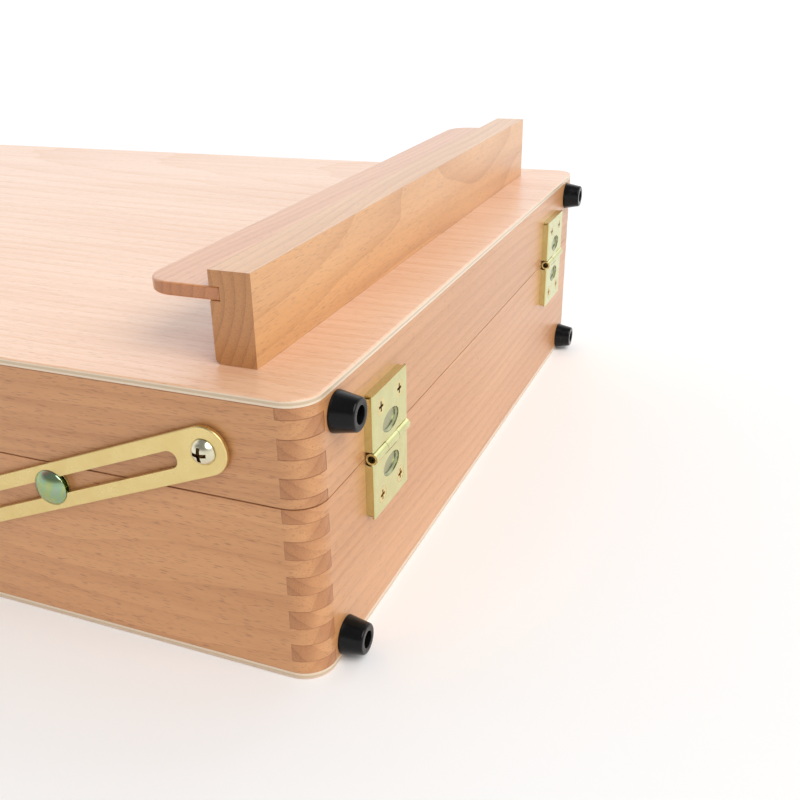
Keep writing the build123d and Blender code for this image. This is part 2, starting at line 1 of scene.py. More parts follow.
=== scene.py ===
import json
import math
import bpy
import bmesh
from mathutils import Matrix, Vector


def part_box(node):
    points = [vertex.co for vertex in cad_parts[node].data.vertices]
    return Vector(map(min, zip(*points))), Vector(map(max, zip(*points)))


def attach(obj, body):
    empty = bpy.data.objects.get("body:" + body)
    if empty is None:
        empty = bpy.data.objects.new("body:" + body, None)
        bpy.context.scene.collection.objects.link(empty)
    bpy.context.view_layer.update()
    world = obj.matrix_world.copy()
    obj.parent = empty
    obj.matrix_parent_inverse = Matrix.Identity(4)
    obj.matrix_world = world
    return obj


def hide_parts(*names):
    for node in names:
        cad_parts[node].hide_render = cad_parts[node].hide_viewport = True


# table box easel: beech case and lid, plywood panels and brass fittings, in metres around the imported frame
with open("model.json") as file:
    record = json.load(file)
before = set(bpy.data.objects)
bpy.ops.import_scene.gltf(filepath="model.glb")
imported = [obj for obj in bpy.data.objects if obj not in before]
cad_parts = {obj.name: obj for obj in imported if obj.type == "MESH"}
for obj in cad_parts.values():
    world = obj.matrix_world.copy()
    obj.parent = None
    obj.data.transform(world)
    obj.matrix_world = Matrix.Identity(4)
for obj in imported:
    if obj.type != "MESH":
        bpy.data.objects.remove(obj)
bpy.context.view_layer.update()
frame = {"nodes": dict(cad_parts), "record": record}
nodes = frame["nodes"]
record = frame["record"]
bodyOf = {node: body for body, names in record["behaviour"]["bodies"].items() for node in names}
slotOf = {part["node"]: part["material_slot"] for part in record["subparts"]}


# helpers that add and join shader nodes
def mathNode(tree, operation, first, second=None, third=None, clamp=False):
    node = tree.nodes.new("ShaderNodeMath")
    node.operation = operation
    node.use_clamp = clamp
    for socket, value in zip(node.inputs, (first, second, third)):
        if isinstance(value, (int, float)):
            socket.default_value = value
        elif value is not None:
            tree.links.new(value, socket)
    return node.outputs[0]


def times(tree, first, second):
    return mathNode(tree, "MULTIPLY", first, second)


def plus(tree, first, second, clamp=False):
    return mathNode(tree, "ADD", first, second, clamp=clamp)


def mixColour(tree, factor, first, second):
    node = tree.nodes.new("ShaderNodeMix")
    node.data_type = "RGBA"
    for socket, value in ((node.inputs[0], factor), (node.inputs[6], first), (node.inputs[7], second)):
        if isinstance(value, (int, float)):
            socket.default_value = value
        elif isinstance(value, tuple):
            socket.default_value = (*value, 1)
        else:
            tree.links.new(value, socket)
    return node.outputs[2]


def noise(tree, vector, scale, detail=2.0, rough=0.5, distortion=0.0):
    # scale is the number of lumps in a metre along each axis
    stretched = tree.nodes.new("ShaderNodeVectorMath")
    stretched.operation = "MULTIPLY"
    tree.links.new(vector, stretched.inputs[0])
    stretched.inputs[1].default_value = scale
    node = tree.nodes.new("ShaderNodeTexNoise")
    tree.links.new(stretched.outputs[0], node.inputs["Vector"])
    node.inputs["Scale"].default_value = 1.0
    node.inputs["Detail"].default_value = detail
    node.inputs["Roughness"].default_value = rough
    node.inputs["Distortion"].default_value = distortion
    return node.outputs["Fac"]


def band(tree, value, limits):
    # 0 below the first limit, 1 above the second, and smooth between them
    node = tree.nodes.new("ShaderNodeMapRange")
    node.interpolation_type = "SMOOTHSTEP"
    tree.links.new(value, node.inputs["Value"])
    node.inputs["From Min"].default_value = limits[0]
    node.inputs["From Max"].default_value = limits[1]
    return node.outputs["Result"]


def splitAxes(tree, vector):
    node = tree.nodes.new("ShaderNodeSeparateXYZ")
    tree.links.new(vector, node.inputs[0])
    return node.outputs


def newGroup(name, inputs, outputs):
    tree = bpy.data.node_groups.new(name, "ShaderNodeTree")
    for label, kind, value in inputs:
        socket = tree.interface.new_socket(label, in_out="INPUT", socket_type=kind)
        if value is not None:
            socket.default_value = value
    for label, kind in outputs:
        tree.interface.new_socket(label, in_out="OUTPUT", socket_type=kind)
    return tree, tree.nodes.new("NodeGroupInput").outputs, tree.nodes.new("NodeGroupOutput").inputs


def placeGroup(tree, group, values):
    node = tree.nodes.new("ShaderNodeGroup")
    node.node_tree = group
    for name, value in values.items():
        socket = node.inputs[name]
        if isinstance(value, bpy.types.NodeSocket):
            tree.links.new(value, socket)
        else:
            socket.default_value = (*value, 1) if socket.type == "RGBA" else value
    return node.outputs


surfaceOutputs = [
    ("Colour", "NodeSocketColor"),
    ("Roughness", "NodeSocketFloat"),
    ("Height", "NodeSocketFloat"),
]
grain = {
    "waverScale": (3, 9, 9),  # the grain runs along X
    "fineScale": (14, 120, 120),
    "waver": 0.045,
    "lean": 0.035,  # how fast the heart line leaves the board
    "fineWaver": 0.0016,
    "ringsPerMetre": 260,
    "ringPower": 3,  # a higher power gives a thinner late ring
    "streakScale": (7, 260, 260),
    "streakBand": (0.32, 0.72),
    "streakShare": 0.38,
    "cloudScale": (5, 26, 26),
    "cloudBand": (0.3, 0.7),
    "cloudShare": 0.3,
    "fleckScale": (230, 2900, 2900),
    "fleckBand": (0.58, 0.7),
    "fleckShare": 0.42,
    "poreScale": (2200, 2200, 2200),
    "poreBand": (0.45, 0.75),
    "endTone": 0.14,
    "endPores": 0.35,
    "endRings": 0.35,
    "endBand": (0.55, 0.95),
    "endShare": 0.82,
    "easedShare": 0.35,
    "roughness": 0.36,
    "darkRoughness": 0.14,
    "endRoughness": 0.2,
    "streakHeight": 0.5,
    "fleckDepth": 0.6,
    "poreDepth": 0.6,
}


def makeGrainGroup():
    # solid wood: rings round a distant heart line, streaks, short flecks, and pores on the end grain
    tree, given, out = newGroup(
        "woodGrain",
        [
            ("Vector", "NodeSocketVector", None),
            ("Pale", "NodeSocketColor", (0.7, 0.45, 0.28, 1)),
            ("Dark", "NodeSocketColor", (0.5, 0.28, 0.15, 1)),
            ("Fleck", "NodeSocketColor", (0.3, 0.14, 0.07, 1)),
            ("End", "NodeSocketFloat", 0.0),
            ("Eased", "NodeSocketFloat", 0.0),
            ("Rings", "NodeSocketFloat", 0.35),
        ],
        surfaceOutputs,
    )
    vector = given["Vector"]
    place = splitAxes(tree, vector)
    waver = noise(tree, vector, grain["waverScale"])
    fineWaver = noise(tree, vector, grain["fineScale"], detail=3)
    across = plus(tree, place["Y"], times(tree, waver, grain["waver"]))
    depth = plus(tree, place["Z"], times(tree, place["X"], grain["lean"]))
    depth = plus(tree, depth, times(tree, fineWaver, grain["fineWaver"]))
    squares = plus(tree, mathNode(tree, "POWER", across, 2), mathNode(tree, "POWER", depth, 2))
    radius = mathNode(tree, "SQRT", squares)
    ring = mathNode(tree, "FRACT", times(tree, radius, grain["ringsPerMetre"]))
    lateRing = mathNode(tree, "POWER", ring, grain["ringPower"])

    streak = band(tree, noise(tree, vector, grain["streakScale"], detail=4, rough=0.65), grain["streakBand"])
    cloud = band(tree, noise(tree, vector, grain["cloudScale"]), grain["cloudBand"])
    darkness = times(tree, lateRing, given["Rings"])
    darkness = plus(tree, darkness, times(tree, streak, grain["streakShare"]))
    darkness = plus(tree, darkness, times(tree, cloud, grain["cloudShare"]), clamp=True)
    colour = mixColour(tree, darkness, given["Pale"], given["Dark"])
    fleck = band(tree, noise(tree, vector, grain["fleckScale"], detail=1), grain["fleckBand"])
    colour = mixColour(tree, times(tree, fleck, grain["fleckShare"]), colour, given["Fleck"])

    pore = band(tree, noise(tree, vector, grain["poreScale"], detail=1), grain["poreBand"])
    endTone = mathNode(tree, "MULTIPLY_ADD", lateRing, grain["endRings"], grain["endTone"])
    endTone = mathNode(tree, "MULTIPLY_ADD", pore, grain["endPores"], endTone)
    endColour = mixColour(tree, endTone, given["Dark"], given["Fleck"])
    endMask = band(tree, given["End"], grain["endBand"])
    colour = mixColour(tree, times(tree, endMask, grain["endShare"]), colour, endColour)
    # rounded edges lean to the fleck colour: dark glue lines and edge wear, and partly painted shade in the
    # grooves of the finger joints
    colour = mixColour(tree, times(tree, given["Eased"], grain["easedShare"]), colour, given["Fleck"])
    tree.links.new(colour, out["Colour"])

    roughness = plus(tree, grain["roughness"], times(tree, darkness, grain["darkRoughness"]))
    roughness = plus(tree, roughness, times(tree, endMask, grain["endRoughness"]))
    tree.links.new(roughness, out["Roughness"])
    relief = times(tree, streak, grain["streakHeight"])
    relief = mathNode(tree, "SUBTRACT", relief, times(tree, fleck, grain["fleckDepth"]))
    endPores = times(tree, times(tree, pore, endMask), grain["poreDepth"])
    tree.links.new(mathNode(tree, "SUBTRACT", relief, endPores), out["Height"])
    return tree


plating = {
    "cloudScale": (160, 160, 160),
    "cloudBand": (0.3, 0.75),
    "cloudShare": 0.5,
    "lineScale": (300, 300, 6000),
    "stainScale": (900, 900, 900),
    "stainBand": (0.62, 0.8),
    "stainShare": 0.4,
    "easedShare": 0.3,
    "paintedShadeShare": 0.9,
    "dullRoughness": 0.16,
    "lineRoughness": 0.06,
    "lineHeight": 0.4,
    "cloudHeight": 0.6,
}


def makePlatingGroup():
    # thin plated metal: rolled lines, a cloudy tone, small stains, and painted shade in recesses and in the
    # pressed ovals
    tree, given, out = newGroup(
        "plating",
        [
            ("Vector", "NodeSocketVector", None),
            ("Bright", "NodeSocketColor", (0.8, 0.7, 0.45, 1)),
            ("Dull", "NodeSocketColor", (0.6, 0.5, 0.3, 1)),
            ("Painted Shade Colour", "NodeSocketColor", (0.3, 0.3, 0.2, 1)),
            ("Painted Shade Mask", "NodeSocketFloat", 0.0),
            ("Eased", "NodeSocketFloat", 0.0),
            ("Base Roughness", "NodeSocketFloat", 0.3),
        ],
        surfaceOutputs,
    )
    vector = given["Vector"]
    cloud = noise(tree, vector, plating["cloudScale"], detail=3)
    lines = noise(tree, vector, plating["lineScale"])
    stain = band(tree, noise(tree, vector, plating["stainScale"], detail=4), plating["stainBand"])
    clouded = times(tree, band(tree, cloud, plating["cloudBand"]), plating["cloudShare"])
    dull = plus(tree, clouded, times(tree, stain, plating["stainShare"]), clamp=True)
    colour = mixColour(tree, dull, given["Bright"], given["Dull"])
    colour = mixColour(tree, times(tree, given["Eased"], plating["easedShare"]), colour, given["Bright"])
    # painted shade: recessed faces lean to the painted-shade colour
    colour = mixColour(tree, times(tree, given["Painted Shade Mask"], plating["paintedShadeShare"]), colour, given["Painted Shade Colour"])
    tree.links.new(colour, out["Colour"])
    roughness = plus(tree, given["Base Roughness"], times(tree, dull, plating["dullRoughness"]))
    roughness = plus(tree, roughness, times(tree, lines, plating["lineRoughness"]))
    tree.links.new(roughness, out["Roughness"])
    relief = plus(tree, times(tree, lines, plating["lineHeight"]), times(tree, cloud, plating["cloudHeight"]))
    tree.links.new(relief, out["Height"])
    return tree


grainGroup = makeGrainGroup()
platingGroup = makePlatingGroup()
print("shared effects ready")


# materials
def startMaterial(name):
    material = bpy.data.materials.new(name)
    material.use_nodes = True
    tree = material.node_tree
    return material, tree, tree.nodes["Principled BSDF"]


def objectPlace(tree, turn=(0, 0, 0), shift=(0, 0, 0)):
    place = tree.nodes.new("ShaderNodeTexCoord")
    mapping = tree.nodes.new("ShaderNodeMapping")
    mapping.inputs["Location"].default_value = shift
    mapping.inputs["Rotation"].default_value = turn
    tree.links.new(place.outputs["Object"], mapping.inputs["Vector"])
    return mapping.outputs["Vector"]


def ownMask(tree, name):
    mask = tree.nodes.new("ShaderNodeAttribute")
    mask.attribute_name = name
    return mask.outputs["Fac"]


def finishShader(tree, shader, colour, roughness, height, bump, reliefHeight):
    tree.links.new(colour, shader.inputs["Base Color"])
    tree.links.new(roughness, shader.inputs["Roughness"])
    relief = tree.nodes.new("ShaderNodeBump")
    relief.inputs["Strength"].default_value = bump
    relief.inputs["Distance"].default_value = reliefHeight
    tree.links.new(height, relief.inputs["Height"])
    tree.links.new(relief.outputs["Normal"], shader.inputs["Normal"])


quarterTurn = (0, 0, -math.pi / 2)  # lays the grain along Y
seedStep = 0.31  # metres along the grain between one board's pattern and the next
beech = {
    "pale": (0.63, 0.302, 0.118),
    "dark": (0.47, 0.195, 0.066),
    "fleck": (0.22, 0.066, 0.022),
    "rings": 0.35,
    "heartAcross": (0.055, 0.021, 5),  # nearest heart line, step, and number of steps before it repeats
    "heartDepth": (0.06, 0.017, 4),
    "coat": 0.6,
    "coatRoughness": 0.3,
    "bump": 0.16,
    "reliefHeight": 0.0002,
}


def heartLine(seed):
    ranges = (beech["heartAcross"], beech["heartDepth"])
    return [nearest + step * (seed % steps) for nearest, step, steps in ranges]


def woodMaterial(name, alongY, seed, tint, rings=beech["rings"], coat=beech["coat"], heart=None):
    material, tree, shader = startMaterial(name)
    shift = (seedStep * seed, *(heart or heartLine(seed)))
    pale, dark, fleck = (tuple(c * t for c, t in zip(beech[key], tint)) for key in ("pale", "dark", "fleck"))
    outputs = placeGroup(tree, grainGroup, {
        "Vector": objectPlace(tree, quarterTurn if alongY else (0, 0, 0), shift),
        "Pale": pale,
        "Dark": dark,
        "Fleck": fleck,
        "End": ownMask(tree, "endGrain"),
        "Eased": ownMask(tree, "eased"),
        "Rings": rings,
    })
    finishShader(tree, shader, *outputs, beech["bump"], beech["reliefHeight"])
    shader.inputs["Coat Weight"].default_value = coat
    shader.inputs["Coat Roughness"].default_value = beech["coatRoughness"]
    return material


plywood = {
    "pale": (0.86, 0.545, 0.36),
    "dark": (0.76, 0.42, 0.24),
    "fleck": (0.5, 0.22, 0.1),
    "rings": 0.42,
    "heart": (0.13, 0.09),
    "outerPly": (0.80, 0.66, 0.49),
    "middlePly": (0.60, 0.46, 0.31),
    "middleFrom": (0.26, 0.34),  # shares of the thickness where the middle ply starts and ends
    "middleTo": (0.62, 0.7),
    "grit": (0.46, 0.31, 0.18),
    "gritScale": (900, 900, 2500),
    "gritShare": 0.3,
    "rimBand": (0.3, 0.8),
    "coat": 0.8,
    "coatRoughness": 0.26,
    "bump": 0.1,
    "reliefHeight": 0.0002,
}


def panelMaterial(name, seed, lowFace, thickness):
    # a pale face veneer, and three plies on the edge
    material, tree, shader = startMaterial(name)
    outputs = placeGroup(tree, grainGroup, {
        "Vector": objectPlace(tree, quarterTurn, (seedStep * seed, *plywood["heart"])),
        "Pale": plywood["pale"],
        "Dark": plywood["dark"],
        "Fleck": plywood["fleck"],
        "Rings": plywood["rings"],
    })
    place = objectPlace(tree)
    rise = mathNode(tree, "SUBTRACT", splitAxes(tree, place)["Z"], lowFace)
    level = mathNode(tree, "DIVIDE", rise, thickness)
    belowEnd = mathNode(tree, "SUBTRACT", 1.0, band(tree, level, plywood["middleTo"]))
    middlePly = times(tree, band(tree, level, plywood["middleFrom"]), belowEnd)
    plies = mixColour(tree, middlePly, plywood["outerPly"], plywood["middlePly"])
    grit = noise(tree, place, plywood["gritScale"])
    plies = mixColour(tree, times(tree, grit, plywood["gritShare"]), plies, plywood["grit"])
    rim = band(tree, ownMask(tree, "rim"), plywood["rimBand"])
    colour = mixColour(tree, rim, outputs["Colour"], plies)
    finishShader(tree, shader, colour, outputs["Roughness"], outputs["Height"],
                 plywood["bump"], plywood["reliefHeight"])
    shader.inputs["Coat Weight"].default_value = plywood["coat"]
    shader.inputs["Coat Roughness"].default_value = plywood["coatRoughness"]
    return material


metalRelief = 0.0001
metalFinish = {  # bright and dull colours, the colour of painted shade in recesses, and roughness
    "platedBrass": ((0.69, 0.70, 0.36), (0.63, 0.58, 0.27), (0.34, 0.36, 0.22), 0.16),
    "platedStay": ((0.80, 0.64, 0.29), (0.74, 0.56, 0.23), (0.24, 0.14, 0.05), 0.24),
    "screwBrass": ((0.78, 0.70, 0.34), (0.66, 0.48, 0.20), (0.34, 0.17, 0.04), 0.2),
    # the pin is painted nearly black, as painted shade in the ends of the barrel and the slits between the
    # knuckles
    "pinPaintedShade": ((0.09, 0.06, 0.03), (0.05, 0.03, 0.015), (0.24, 0.14, 0.05), 0.4),
    "nickelHead": ((0.80, 0.76, 0.58), (0.62, 0.56, 0.38), (0.24, 0.14, 0.05), 0.12),
    "brightSteel": ((0.72, 0.72, 0.70), (0.52, 0.52, 0.5), (0.24, 0.14, 0.05), 0.22),
}


def metalMaterial(name, bump=0.05):
    bright, dull, paintedShadeColour, roughness = metalFinish[name]
    material, tree, shader = startMaterial(name)
    outputs = placeGroup(tree, platingGroup, {
        "Vector": objectPlace(tree),
        "Bright": bright,
        "Dull": dull,
        "Painted Shade Colour": paintedShadeColour,
        "Painted Shade Mask": ownMask(tree, "paintedShade"),
        "Eased": ownMask(tree, "eased"),
        "Base Roughness": roughness,
    })
    finishShader(tree, shader, *outputs, bump, metalRelief)
    shader.inputs["Metallic"].default_value = 1.0
    return material


zinc = {
    "film": (  # place on the drift and colour there
        (0.32, (0.48, 0.42, 0.15)),
        (0.44, (0.32, 0.45, 0.18)),
        (0.54, (0.24, 0.42, 0.30)),
        (0.66, (0.46, 0.33, 0.24)),
    ),
    "driftScale": (110, 110, 110),
    "driftTwist": 1.2,
    "filmShare": 0.85,
    "bright": (0.66, 0.66, 0.42),
    "dull": (0.5, 0.5, 0.3),
    "roughness": 0.08,
    "bump": 0.04,
}


def zincMaterial(name):
    # yellow passivated zinc, whose film shifts between straw, green and rose
    material, tree, shader = startMaterial(name)
    vector = objectPlace(tree)
    film = tree.nodes.new("ShaderNodeValToRGB")
    tree.links.new(noise(tree, vector, zinc["driftScale"], distortion=zinc["driftTwist"]), film.inputs["Fac"])
    stops = film.color_ramp.elements
    while len(stops) < len(zinc["film"]):
        stops.new(0.5)
    for stop, (position, colour) in zip(stops, zinc["film"]):
        stop.position = position
        stop.color = (*colour, 1)
    outputs = placeGroup(tree, platingGroup, {
        "Vector": vector,
        "Bright": zinc["bright"],
        "Dull": zinc["dull"],
        "Eased": ownMask(tree, "eased"),
        "Base Roughness": zinc["roughness"],
    })
    colour = mixColour(tree, zinc["filmShare"], outputs["Colour"], film.outputs["Color"])
    finishShader(tree, shader, colour, outputs["Roughness"], outputs["Height"], zinc["bump"], metalRelief)
    shader.inputs["Metallic"].default_value = 1.0
    return material


rubber = {
    "black": (0.0035, 0.0035, 0.004),
    "smeared": (0.008, 0.008, 0.008),
    "smearScale": (240, 240, 240),
    "smearBand": (0.4, 0.75),
    "smearShare": 0.5,
    "roughness": 0.14,
    "smearRoughness": 0.14,
    "specular": 0.22,
    "gritScale": (2600, 2600, 2600),
    "bump": 0.12,
    "reliefHeight": 0.0001,
}


def rubberMaterial(name):
    material, tree, shader = startMaterial(name)
    vector = objectPlace(tree)
    grit = noise(tree, vector, rubber["gritScale"], detail=3)
    smear = band(tree, noise(tree, vector, rubber["smearScale"], detail=3), rubber["smearBand"])
    colour = mixColour(tree, times(tree, smear, rubber["smearShare"]), rubber["black"], rubber["smeared"])
    roughness = plus(tree, rubber["roughness"], times(tree, smear, rubber["smearRoughness"]))
    finishShader(tree, shader, colour, roughness, grit, rubber["bump"], rubber["reliefHeight"])
    shader.inputs["Specular IOR Level"].default_value = rubber["specular"]
    return material


fittingMaterials = {
    "brass": metalMaterial("platedBrass"),
    "stay": metalMaterial("platedStay"),
    "screw": metalMaterial("screwBrass"),
    "pin": metalMaterial("pinPaintedShade"),
    "chrome": metalMaterial("nickelHead"),
    "bright_steel": metalMaterial("brightSteel"),
    "yellow_zinc": zincMaterial("yellowZinc"),
    "black_rubber": rubberMaterial("blackRubber"),
}
print("materials ready")

easing = {
    "mergeWithin": 0.000004,
    "flatWithin": 0.6,  # degrees: flatter neighbours become one face
    "sharpFrom": 28,  # degrees: edges from here up are rounded
    "shadeSharpFrom": 32,
    "sameFacing": 0.9,  # cosine up to which neighbours share their end-grain mask
}


def cornerMask(mesh, name, values):
    attribute = mesh.attributes.new(name, "FLOAT", "CORNER")
    attribute.data.foreach_set("value", values)


def maskByFace(mesh, name, test):
    cornerMask(mesh, name, [float(test(face)) for face in mesh.polygons for _ in face.loop_indices])


def easedPiece(node, width, segments=2, angle=easing["sharpFrom"], shape=None, eased=None, paintedShade=None):
    # a copy of the frame's own solid with its sharp edges rounded, and masks for its material
    mesh = nodes[node].data.copy()
    work = bmesh.new()
    work.from_mesh(mesh)
    bmesh.ops.remove_doubles(work, verts=work.verts, dist=easing["mergeWithin"])
    flatAngle = math.radians(easing["flatWithin"])
    bmesh.ops.dissolve_limit(work, angle_limit=flatAngle, verts=work.verts, edges=work.edges)
    if shape:
        shape(work)
    sharpAngle = math.radians(angle)
    sharp = [e for e in work.edges if len(e.link_faces) == 2 and e.calc_face_angle() > sharpAngle]
    if eased:
        sharp = [e for e in sharp if eased(e)]
    mark = work.faces.layers.int.new("easedFace")
    bevelled = bmesh.ops.bevel(work, geom=sharp, offset=width, offset_type="OFFSET", affect="EDGES",
                               segments=segments, profile=0.5, material=-1, clamp_overlap=True)
    for face in bevelled["faces"]:
        face[mark] = 1
    bmesh.ops.triangulate(work, faces=[f for f in work.faces if len(f.verts) > 4])
    work.to_mesh(mesh)
    work.free()
    piece = bpy.data.objects.new(node + "_finished", mesh)
    bpy.context.scene.collection.objects.link(piece)
    mesh.shade_smooth()
    mesh.set_sharp_from_angle(angle=math.radians(easing["shadeSharpFrom"]))
    flags = [0] * len(mesh.polygons)
    mesh.attributes["easedFace"].data.foreach_get("value", flags)
    maskByFace(mesh, "eased", lambda face: flags[face.index])
    mesh.attributes.remove(mesh.attributes["easedFace"])
    # painted shade: recessed faces get a mask that darkens them in the material
    if paintedShade:
        maskByFace(mesh, "paintedShade", lambda face: paintedShade(face.center, face.normal))
    mesh.materials.clear()
    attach(piece, bodyOf[node])
    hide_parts(node)
    shading = piece.modifiers.new("shading", "WEIGHTED_NORMAL")
    shading.keep_sharp = True
    return piece


def facing(mesh, axis):
    # how far each corner faces along an axis, averaged with the neighbours that nearly share its plane
    around = [[] for _ in mesh.vertices]
    for face in mesh.polygons:
        for vertex in face.vertices:
            around[vertex].append(face.normal.copy())
    values = []
    for face in mesh.polygons:
        for vertex in face.vertices:
            near = [n for n in around[vertex] if n.dot(face.normal) > easing["sameFacing"]]
            values.append(sum(abs(n[axis]) for n in near) / len(near))
    return values


def finishWood(piece, material, endAxis):
    cornerMask(piece.data, "endGrain", facing(piece.data, endAxis))
    piece.data.materials.append(material)


# boards, ledge and panels
boards = {
    "edge": 0.00035,
    "sharpFrom": 40,
    "toneShift": 0.03,  # how much one board's tone may differ from the next
    "toneStep": 2.4,
    "alongX": {
        "case_front_board": 1,  # the numbers pick each board's own grain
        "case_back_board": 2,
        "lid_front_board": 5,
        "lid_back_board": 6,
        "divider_long": 9,
    },
    "alongY": {
        "case_side_board_left": 3,
        "case_side_board_right": 4,
        "lid_side_board_left": 7,
        "lid_side_board_right": 8,
        "divider_short_left": 10,
        "divider_short_right": 11,
    },
}
for direction in ("alongX", "alongY"):
    alongY = direction == "alongY"
    for node, seed in boards[direction].items():
        piece = easedPiece(node, boards["edge"], angle=boards["sharpFrom"])
        tone = 1 + boards["toneShift"] * math.sin(seed * boards["toneStep"])
        finishWood(piece, woodMaterial("beech_" + node, alongY, seed, (tone, tone, tone)), int(alongY))

ledge = {
    "edge": 0.0005,
    "edgeSegments": 3,
    "rings": 0.5,
    "coat": 0.9,
    "heart": (-0.05, -0.245),
    "parts": {  # grain and tint
        "ledge_bar": (12, (1.12, 1.2, 1.06)),
        "ledge_lip": (13, (1.12, 1.04, 1.06)),
    },
}
for node, (seed, tint) in ledge["parts"].items():
    piece = easedPiece(node, ledge["edge"], segments=ledge["edgeSegments"])
    material = woodMaterial("beech_" + node, False, seed, tint, ledge["rings"], ledge["coat"], ledge["heart"])
    finishWood(piece, material, 0)

panels = {"edge": 0.0002, "parts": {"case_bottom_panel": 14, "lid_top_panel": 15}}
for node, seed in panels["parts"].items():
    piece = easedPiece(node, panels["edge"])
    low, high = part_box(node)
    cornerMask(piece.data, "rim", [1 - value for value in facing(piece.data, 2)])
    piece.data.materials.append(panelMaterial("plywood_" + node, seed, low.z, high.z - low.z))
print("wood ready")

# hinges: places come from the frame, and both leaves are alike above and below the seam
seamZ = (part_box("case_front_board")[1].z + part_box("lid_front_board")[0].z) / 2
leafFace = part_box("hinge_upper_screws")[0].y
hingeX = sum(corner.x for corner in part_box("hinge_pin_right")) / 2
hinge = {
    "leafEdge": 0.00018,
    "pinEdge": 0.0002,
    "screwEdge": 0.00025,
    "screwAside": 0.008,  # screws from the hinge's middle, and from the seam
    "screwFromSeam": 0.0162,
    "screwClear": 0.0034,
    "headRim": 0.0027,
    "headRimShade": 0.45,
    "crossReach": 0.0022,
    "crossDepths": (0.0001, 0.0012),
    "onFace": 0.00002,
}
dish = {
    "floorDepths": (0.0003, 0.0007),  # between these lies the solid's own flat floor
    "slopes": ((0.0012, 0.0009), (0.0011, 0.0003)),  # width and drop, from the rim inwards
    "halfLength": 0.007,
    "runOutFrom": -0.4,  # share of the half length where it starts to grow shallow
    "shallowEnd": 0.42,  # share of the depth left at that end
    "maskHalfLength": 0.0071,
    "maskFromSeam": (0.0043, 0.0121),
    "maskDepths": (0.00015, 0.0022),
}


def between(value, limits):
    return limits[0] < value < limits[1]


def sinkDish(work):
    # the pressed oval runs down to a rounded hollow, deep at one end and shallow at the other
    floor = [f for f in work.faces
             if f.normal.y < -0.99 and between(f.calc_center_median().y - leafFace, dish["floorDepths"])]
    sunken = {v for f in floor for v in f.verts}
    for slope, drop in dish["slopes"]:
        bmesh.ops.inset_region(work, faces=floor, thickness=slope, use_even_offset=True)
        inner = {v for f in floor for v in f.verts}
        bmesh.ops.translate(work, verts=list(inner), vec=(0, drop, 0))
        sunken.update(inner)
    for vertex in sunken:
        along = (vertex.co.x - math.copysign(hingeX, vertex.co.x)) / dish["halfLength"]
        share = min(max((along - dish["runOutFrom"]) / (1 - dish["runOutFrom"]), 0), 1)
        keep = 1 - (1 - dish["shallowEnd"]) * share * share * (3 - 2 * share)
        vertex.co.y = leafFace + (vertex.co.y - leafFace) * keep


def screwAway(place):
    aside = abs(abs(place.x) - hingeX) - hinge["screwAside"]
    return math.hypot(aside, abs(place.z - seamZ) - hinge["screwFromSeam"])


def onLeafOutline(edge):
    # front edges of the leaf, but for the screw holes
    middle = (edge.verts[0].co + edge.verts[1].co) / 2
    onFace = all(abs(v.co.y - leafFace) < hinge["onFace"] for v in edge.verts)
    return onFace and screwAway(middle) > hinge["screwClear"]


# painted shade and a dull painted reflection on the faces inside the pressed oval
def insideDish(place, normal):
    aside = abs(abs(place.x) - hingeX)
    tall = between(abs(place.z - seamZ), dish["maskFromSeam"])
    return aside < dish["maskHalfLength"] and tall and between(place.y - leafFace, dish["maskDepths"])


def onHingeScrew(place, normal):
    # painted shade: full in the cross slot, and a faint painted shadow round the edge of the head
    if between(place.y - leafFace, hinge["crossDepths"]) and screwAway(place) < hinge["crossReach"]:
        return 1
    return hinge["headRimShade"] if screwAway(place) > hinge["headRim"] else 0


domedCross = {"reach": 0.62, "deepest": 0.0023, "floorFrom": 0.0012}  # reach is a share of the head's radius


def insideDomedCross(node):
    # painted shade in the cross slot of a round head: its walls, and its floor below the dome
    low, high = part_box(node)
    sideways = high.x - low.x < high.y - low.y or "stay" in node
    axis, other = (0, 1) if sideways else (1, 0)
    centre = (low + high) / 2
    outward = 1 if centre[axis] > 0 else -1
    top = high[axis] if outward > 0 else low[axis]
    radius = (high.z - low.z) / 2

    def test(place, normal):
        apart = math.hypot(place[other] - centre[other], place.z - centre.z)
        depth = (top - place[axis]) * outward
        inSlot = abs(normal[axis]) < 0.5 or depth > domedCross["floorFrom"]
        return apart < domedCross["reach"] * radius and depth < domedCross["deepest"] and inSlot
    return test


for side in ("left", "right"):
    for half in ("upper", "lower"):
        leaf = easedPiece(f"hinge_{half}_leaf_{side}", hinge["leafEdge"], shape=sinkDish,
                          eased=onLeafOutline, paintedShade=insideDish)
        leaf.data.materials.append(fittingMaterials["brass"])
    pin = easedPiece(f"hinge_pin_{side}", hinge["pinEdge"])
    pin.data.materials.append(fittingMaterials["pin"])
for half in ("upper", "lower"):
    screws = easedPiece(f"hinge_{half}_screws", hinge["screwEdge"], paintedShade=onHingeScrew)
    screws.data.materials.append(fittingMaterials["screw"])
print("hinges ready")

